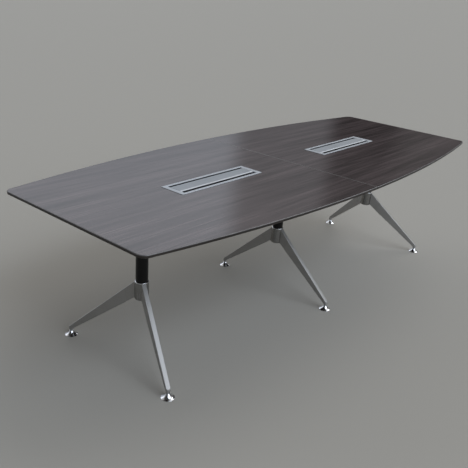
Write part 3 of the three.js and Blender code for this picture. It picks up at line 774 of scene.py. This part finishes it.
# Brushes: a moulded backing with dense bristles in slightly uneven tufts
def brush_shape(rng, sign):
    """A brush along X whose bristles point at the lid, on the front or the back by sign."""
    brush = Builder()
    back_y, rear_y = sign * BRUSH_BACK_Y, sign * BRUSH_REAR_Y
    back = rounded(
        [(back_y, BRUSH_BACK_BOTTOM_Z), (rear_y, BRUSH_BACK_BOTTOM_Z),
         (rear_y, BRUSH_BACK_TOP_Z), (back_y, BRUSH_BACK_TOP_Z)],
        [BRUSH_BACK_ARRIS] * 4,
        steps=3,
    )
    brush.loft([[(x, y, z) for y, z in back] for x in (-BRUSH_HALF, BRUSH_HALF)])
    root_y = sign * (BRUSH_BACK_Y + BRISTLE_ROOT_DEPTH)
    for tuft in range(TUFTS):
        middle = -BRUSH_HALF + (tuft + 0.5) * 2 * BRUSH_HALF / TUFTS
        for _ in range(BRISTLES_PER_TUFT):
            x = middle + rng.uniform(-TUFT_SPREAD_X, TUFT_SPREAD_X)
            z = BRUSH_Z + rng.uniform(-TUFT_SPREAD_Z, TUFT_SPREAD_Z)
            tip_x = x + rng.uniform(-BRISTLE_LEAN, BRISTLE_LEAN)
            tip_z = z + rng.uniform(-BRISTLE_DROOP, BRISTLE_LIFT)
            tip_y = sign * (BRUSH_TIP_Y + rng.uniform(0.0, BRISTLE_SHORTER))
            ends = ((root_y, x, z, BRISTLE_ROOT_RADIUS), (tip_y, tip_x, tip_z, BRISTLE_TIP_RADIUS))
            brush.loft([
                [(cx + r * math.cos(a), y, cz + r * math.sin(a)) for a in BRISTLE_CORNERS]
                for y, cx, cz, r in ends
            ])
    return brush


rng = random.Random(BRUSH_SEED)
for side, x in zip(SIDES, (-PORT_X, PORT_X)):
    for place, sign in zip(PLACES, (-1, 1)):
        name = f"brush_strip_{side}_{place}"
        here = Matrix.Translation((x, 0, 0))
        brush_shape(rng, sign).piece(
            f"{name}_full", [BRISTLE], "table", "black_bristle", here, [name], sharp=60,
        )


# Pieces that keep their solids
GRIP_LEAST_UP = 0.9
GRIP_LEAST_LEAN = 0.1


def on_grip(face):
    """Whether a face of a lid is the long bevel of its near edge, which leans a little to the front."""
    return face.normal.z > GRIP_LEAST_UP and face.normal.y < -GRIP_LEAST_LEAN


def named(start):
    return [name for name in nodes if name.startswith(start)]


refine([f"port_frame_{side}" for side in SIDES], PORT_RIM, width=0.00025)
refine([f"port_lid_{side}" for side in SIDES], PORT_METAL, width=0.00035, second=LID_BEVEL_PAINTED_HIGHLIGHT)
# The near bevel of each lid takes the lighter finish, a painted highlight.
for side in SIDES:
    for face in nodes[f"port_lid_{side}"].data.polygons:
        if on_grip(face):
            face.material_index = 1
refine([f"cable_tray_{side}" for side in SIDES], FRAME_BLACK, width=0.0004)
refine([f"rail_{place}" for place in PLACES], FRAME_BLACK, width=0.0009)
refine(named("post_plate"), FRAME_BLACK, width=0.0008)
refine([f"seam_plate_{place}" for place in PLACES], ZINC, width=0.0006)
refine(named("rail_cap"), PLASTIC, width=0.0008)
refine(named("port_pin"), ZINC, width=0.0003, angle=40)
refine(named("seam_dowel"), BEECH, width=0.0006, angle=40)


# Small fasteners under the top
def screw_head(builder, x, y, z, radius, tall):
    """A domed screw head that hangs under a face at height z, with a slightly raised cross."""
    dome_start, dome_end, dome_steps = tall * 0.35, tall * 0.72, 6
    profile = [(0.0, z - dome_end)]
    for k in range(1, dome_steps + 1):
        angle = math.pi / 2 * k / dome_steps
        below = dome_start + (dome_end - dome_start) * math.cos(angle)
        profile.append((radius * math.sin(angle), z - below))
    profile += [(radius, z), (0.0, z)]
    builder.turned(profile, (x, y), segments=24)
    arm, narrow = radius * 0.55, radius * 0.13
    cross_bottom, cross_top = z - tall * 0.78, z - tall * 0.3
    for half_x, half_y in ((arm, narrow), (narrow, arm)):
        corners = [(-half_x, -half_y), (half_x, -half_y), (half_x, half_y), (-half_x, half_y)]
        builder.loft([[(x + u, y + v, level) for u, v in corners] for level in (cross_bottom, cross_top)])


def hexagon_head(builder, x, y, z):
    """A hexagon bolt head on a washer under a face at height z."""
    washer = BOLT_FLATS * WASHER_SHARE
    washer_bottom = z - WASHER_HEIGHT
    profile = rounded(
        [(0.0, washer_bottom), (washer, washer_bottom), (washer, z), (0.0, z)],
        [0, WASHER_ARRIS, 0, 0],
        steps=3,
    )
    builder.turned(profile, (x, y), segments=32)
    corner = BOLT_FLATS / 2 / math.cos(math.pi / 6)
    levels = (
        (washer_bottom, corner),
        (z - BOLT_HEIGHT, corner),
        (z - BOLT_HEIGHT - BOLT_CHAMFER, corner - BOLT_CHAMFER),
    )
    builder.loft([hexagon(reach, level, (x, y)) for level, reach in levels])


bolts = Builder()
for x in (-BASE_X, 0.0, BASE_X):
    for u in (-BOLT_X, BOLT_X):
        for y in (-RAIL_Y, RAIL_Y):
            hexagon_head(bolts, x + u, y, POST_TOP_Z)
bolts.piece("plate_bolts", [ZINC], "table", "zinc_steel", sharp=40)

screws = Builder()
for y in (-SEAM_PLATE_Y, SEAM_PLATE_Y):
    for u, v in SEAM_SCREWS:
        screw_head(screws, u, y + v, SEAM_PLATE_Z, *SEAM_SCREW)
for x in (-PORT_X, PORT_X):
    for u in TRAY_SCREWS_X:
        for y in (-TRAY_SCREWS_Y, TRAY_SCREWS_Y):
            screw_head(screws, x + u, y, TRAY_FLANGE_Z, *TRAY_SCREW)
for x in RAIL_SCREWS_X:
    for y in (-RAIL_Y, RAIL_Y):
        screw_head(screws, x, y, RAIL_BOTTOM_Z, *RAIL_SCREW)
screws.piece("panel_screws", [ZINC], "table", "zinc_steel", sharp=40)


# Floor, light and camera
FLOOR_HALF = 500
floor_corners = ((-1, -1), (1, -1), (1, 1), (-1, 1))
floor_mesh = bpy.data.meshes.new("floor")
floor_mesh.from_pydata([(FLOOR_HALF * u, FLOOR_HALF * v, 0) for u, v in floor_corners], [], [(0, 1, 2, 3)])
floor = bpy.data.objects.new("floor", floor_mesh)
bpy.context.scene.collection.objects.link(floor)
floor_finish = Finish("floor_pale", (0.315, 0.300, 0.270), metallic=0.0, roughness=0.9)
floor_mesh.materials.append(floor_finish.material)


def studio_world():
    """A soft dome over the table and broad pale panels round it, which its gloss and chrome mirror."""
    world = bpy.data.worlds.new("studio")
    bpy.context.scene.world = world
    world.use_nodes = True
    tree = world.node_tree
    tree.nodes.remove(tree.nodes["Background"])
    direction = tree.nodes.new("ShaderNodeTexCoord").outputs["Generated"]

    def facing(azimuth, elevation):
        """How far a direction leans towards an azimuth and elevation, from -1 to 1."""
        lean = tree.nodes.new("ShaderNodeVectorMath")
        lean.operation = "DOT_PRODUCT"
        a, e = math.radians(azimuth), math.radians(elevation)
        lean.inputs[1].default_value = (math.cos(e) * math.cos(a), math.cos(e) * math.sin(a), math.sin(e))
        tree.links.new(direction, lean.inputs[0])
        return lean.outputs["Value"]

    def step(field, low, high, least, most):
        """A smooth step from least to most as a field goes from low to high."""
        smooth = tree.nodes.new("ShaderNodeMapRange")
        smooth.interpolation_type = "SMOOTHSTEP"
        for name, value in (("From Min", low), ("From Max", high), ("To Min", least), ("To Max", most)):
            smooth.inputs[name].default_value = value
        tree.links.new(field, smooth.inputs["Value"])
        return smooth.outputs["Result"]

    def times(first, second):
        product = tree.nodes.new("ShaderNodeMath")
        product.operation = "MULTIPLY"
        tree.links.new(first, product.inputs[0])
        tree.links.new(second, product.inputs[1])
        return product.outputs["Value"]

    def panel(light, right, left, soft, low=0.50, high=0.70):
        """A panel between two azimuths, with softness for both its sides, that fades out with height."""
        from_right = step(facing(right + 90, 0), -soft[0], soft[0], 0.0, light)
        from_left = step(facing(left - 90, 0), -soft[1], soft[1], 0.0, 1.0)
        return times(times(from_right, from_left), step(height, low, high, 1.0, 0.0))

    def shine(strength, colour):
        background = tree.nodes.new("ShaderNodeBackground")
        background.inputs["Color"].default_value = (*colour, 1)
        tree.links.new(strength, background.inputs["Strength"])
        return background.outputs["Background"]

    # The dome is dim above the camera. The two panels behind the table brighten as they rise. The front
    # panel is bright only high up, so that the top doesn't glare in views from behind.
    height = facing(0, 90)
    shaded = step(facing(198, 48), low=0.52, high=0.88, least=1.0, most=0.08)
    dome = times(step(height, low=0.17, high=0.70, least=0.02, most=0.60), shaded)
    cool = panel(light=0.485, right=39.9, left=122, soft=(0.02, 0.22))
    cool = times(cool, step(height, low=0.15, high=0.50, least=0.6, most=1.5))
    pale = panel(light=0.235, right=31.2, left=122, soft=(0.016, 0.22))
    pale = times(pale, step(height, low=0.15, high=0.50, least=0.78, most=1.2))
    dim = panel(light=0.085, right=-60, left=25, soft=(0.03, 0.03))
    front = panel(light=5.8, right=-118, left=-60, soft=(0.10, 0.10), low=0.72, high=0.92)
    front = times(front, step(height, low=0.50, high=0.70, least=0.42, most=1.0))
    front = times(front, step(height, low=0.05, high=0.28, least=0.2, most=1.0))
    low_left = panel(light=0.13, right=112, left=242, soft=(0.25, 0.10), low=0.42, high=0.62)
    lamp = step(facing(0, 48), low=0.90, high=0.955, least=0.0, most=1.9)

    lights = [
        shine(dome, (1.0, 0.99, 0.97)),
        shine(dim, (1.0, 0.97, 0.95)),
        shine(pale, (0.93, 0.94, 1.0)),
        shine(lamp, (0.97, 0.98, 1.0)),
        shine(cool, (0.85, 0.935, 1.06)),
        shine(low_left, (0.93, 0.96, 1.0)),
        shine(front, (0.85, 0.935, 1.05)),
    ]
    total = lights[0]
    for light in lights[1:]:
        add = tree.nodes.new("ShaderNodeAddShader")
        tree.links.new(total, add.inputs[0])
        tree.links.new(light, add.inputs[1])
        total = add.outputs["Shader"]
    tree.links.new(total, tree.nodes["World Output"].inputs["Surface"])


studio_world()

CAMERA_PLACE = (-2.62224, -1.85025, 1.62942)
AZIMUTH = math.radians(39.487)
ELEVATION = math.radians(22.49)
ROLL = math.radians(4.211)
FOCAL_PIXELS = 617.873
IMAGE_PIXELS = 468
SENSOR = 36.0
FARTHEST = 2000

camera_data = bpy.data.cameras.new("camera")
camera_data.sensor_fit = "HORIZONTAL"
camera_data.sensor_width = SENSOR
camera_data.lens = FOCAL_PIXELS / IMAGE_PIXELS * SENSOR
camera_data.clip_end = FARTHEST
camera = bpy.data.objects.new("camera", camera_data)
bpy.context.scene.collection.objects.link(camera)
look = Vector((
    math.cos(ELEVATION) * math.cos(AZIMUTH),
    math.cos(ELEVATION) * math.sin(AZIMUTH),
    -math.sin(ELEVATION),
))
right = look.cross(Vector((0, 0, 1))).normalized()
up = right.cross(look)
right_rolled = math.cos(ROLL) * right + math.sin(ROLL) * up
up_rolled = -math.sin(ROLL) * right + math.cos(ROLL) * up
camera_turn = Matrix((right_rolled, up_rolled, -look)).transposed().to_4x4()
camera.matrix_world = Matrix.Translation(CAMERA_PLACE) @ camera_turn
bpy.context.scene.camera = camera
bpy.context.scene.view_settings.view_transform = "Standard"

bpy.context.view_layer.update()
